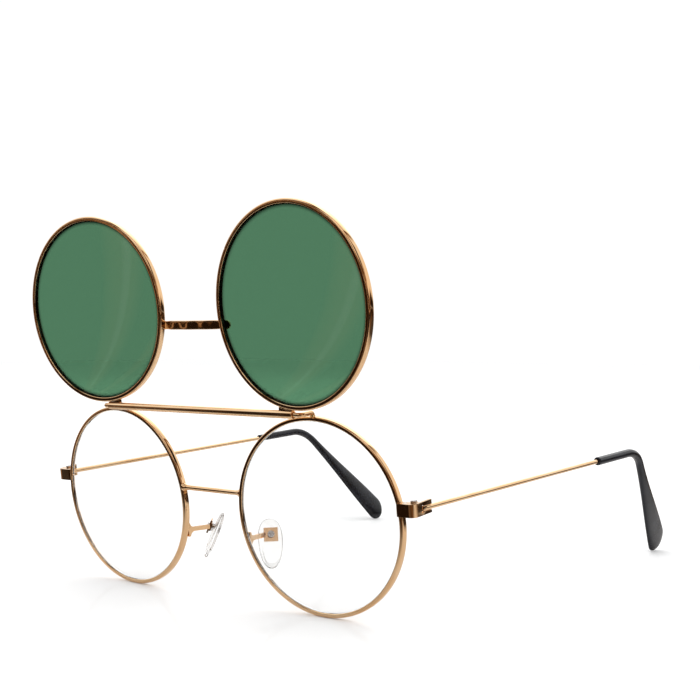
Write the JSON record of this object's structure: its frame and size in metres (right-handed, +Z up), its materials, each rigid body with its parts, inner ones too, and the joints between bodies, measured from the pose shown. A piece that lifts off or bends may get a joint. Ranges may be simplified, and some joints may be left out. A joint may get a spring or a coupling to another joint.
{
  "type": "flip-up clip-on sunglasses",
  "caption": "Round wire spectacle frame with clear lenses and a green-tinted lens pair hinged along the top, shown flipped up above the frame.",
  "frame": {"origin": "on the table, under the middle of the box around the whole object as it stands with the tinted pair flipped up", "axes": "+X to the wearer's left (the right-hand side as the front is looked at), +Y from the front back along the temples, +Z up"},
  "size_m": [0.1382, 0.1667, 0.105],
  "materials": {
    "gold_plate": "polished",
    "clear_lens": "polished",
    "tinted_lens": "polished",
    "screw_steel": "polished",
    "tip_acetate": "gloss",
    "pad_silicone": "satin"
  },
  "bodies": {
    "frame": {"rim_left": "gold_plate", "rim_right": "gold_plate", "clear_lens_left": "clear_lens", "clear_lens_right": "clear_lens", "end_piece_left": "gold_plate", "end_piece_right": "gold_plate", "rim_lock_left": "gold_plate", "rim_lock_right": "gold_plate", "rim_screw_left": "screw_steel", "rim_screw_right": "screw_steel", "temple_screw_left": "screw_steel", "temple_screw_right": "screw_steel", "pad_arm_left": "gold_plate", "pad_arm_right": "gold_plate", "pad_screw_left": "screw_steel", "pad_screw_right": "screw_steel", "bridge_wire": "gold_plate", "flip_hinge_rod": "gold_plate"},
    "flip": {"flip_rim_left": "gold_plate", "flip_rim_right": "gold_plate", "tinted_lens_left": "tinted_lens", "tinted_lens_right": "tinted_lens", "flip_tab_left": "gold_plate", "flip_tab_right": "gold_plate", "flip_bridge": "gold_plate", "flip_hinge_tube": "gold_plate"},
    "temple_left": {"temple_leaf_left": "gold_plate", "temple_wire_left": "gold_plate", "temple_tip_left": "tip_acetate"},
    "temple_right": {"temple_leaf_right": "gold_plate", "temple_wire_right": "gold_plate", "temple_tip_right": "tip_acetate"},
    "pad_left": {"nose_pad_left": "pad_silicone"},
    "pad_right": {"nose_pad_right": "pad_silicone"}
  },
  "joints": [
    {"name": "flip_up", "type": "hinge", "parent": "frame", "child": "flip", "pos_m": [0, -0.07609, 0.05247], "axis": [1, 0, 0], "range_deg": [0, 180]},
    {"name": "temple_fold_left", "type": "hinge", "parent": "frame", "child": "temple_left", "pos_m": [-0.06465, -0.06685, 0.03062], "axis": [0, 0.1132, -0.9936], "range_deg": [0, 75]},
    {"name": "temple_fold_right", "type": "hinge", "parent": "frame", "child": "temple_right", "pos_m": [0.06465, -0.06685, 0.03062], "axis": [0, -0.1132, 0.9936], "range_deg": [0, 85]},
    {"name": "pad_swivel_left", "type": "hinge", "parent": "frame", "child": "pad_left", "pos_m": [-0.012, -0.05952, 0.01837], "axis": [0.6844, 0.6251, -0.3754], "range_deg": [-10, 10]},
    {"name": "pad_swivel_right", "type": "hinge", "parent": "frame", "child": "pad_right", "pos_m": [0.012, -0.05952, 0.01837], "axis": [-0.6844, 0.6251, -0.3754], "range_deg": [-10, 10]}
  ]
}
